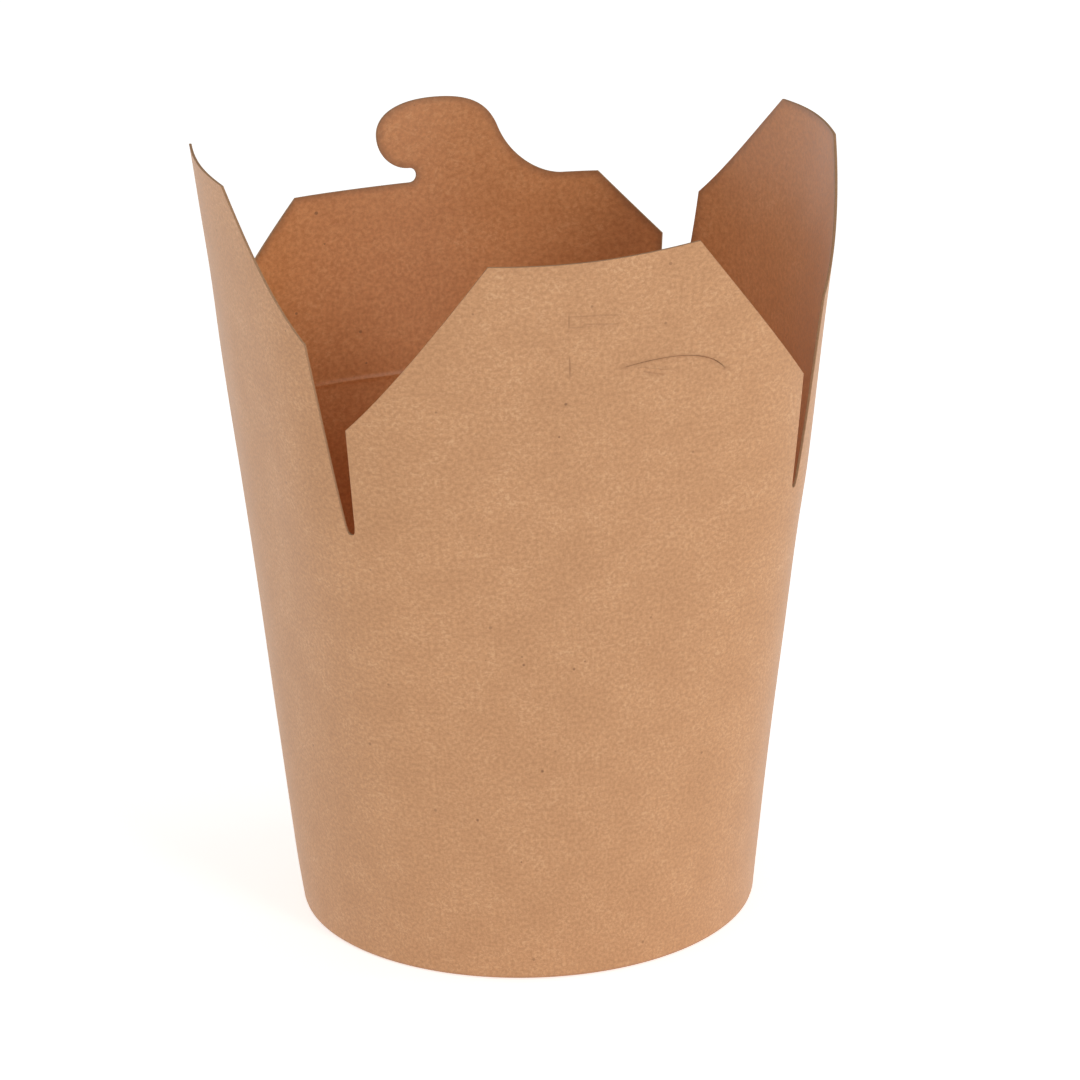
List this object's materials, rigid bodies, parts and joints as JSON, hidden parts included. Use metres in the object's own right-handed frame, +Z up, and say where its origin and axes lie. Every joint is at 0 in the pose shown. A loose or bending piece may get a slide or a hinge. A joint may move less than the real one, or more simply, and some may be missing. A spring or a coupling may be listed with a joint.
{
  "type": "noodle takeaway box",
  "caption": "Open round-base kraft board takeaway food box, widening upward to chamfered closing flaps, with a hooked locking tab at the back and a lock slit in front.",
  "frame": {"origin": "centre of the round base, on the surface that the box stands on", "axes": "+Z up; -Y towards the front flap with the lock slit, +Y towards the back flap with the tab, +X to the right as seen from the front"},
  "size_m": [0.1058, 0.1043, 0.1354],
  "materials": {
    "kraft_board": "uncoated brown kraft outside, slightly deeper brown inside, matt with fine fibres",
    "base_board": "brown kraft with a thin food-safe film, matt"
  },
  "bodies": {
    "cup": {"cup_wall": "kraft_board", "cup_base": "base_board"},
    "front_flap": {"flap_front": "kraft_board"},
    "right_flap": {"flap_right": "kraft_board"},
    "back_flap": {"flap_back": "kraft_board"},
    "left_flap": {"flap_left": "kraft_board"}
  },
  "joints": [
    {"name": "left_fold", "type": "hinge", "parent": "cup", "child": "left_flap", "pos_m": [-0.0366, 0, 0.0813], "axis": [0, 1, 0], "range_deg": [0, 96]},
    {"name": "right_fold", "type": "hinge", "parent": "cup", "child": "right_flap", "pos_m": [0.0366, 0, 0.0813], "axis": [0, -1, 0], "range_deg": [0, 88]},
    {"name": "front_fold", "type": "hinge", "parent": "cup", "child": "front_flap", "pos_m": [0, -0.0345, 0.0813], "axis": [-1, 0, 0], "range_deg": [0, 66]},
    {"name": "back_fold", "type": "hinge", "parent": "cup", "child": "back_flap", "pos_m": [0, 0.0345, 0.0813], "axis": [1, 0, 0], "range_deg": [0, 62]}
  ]
}
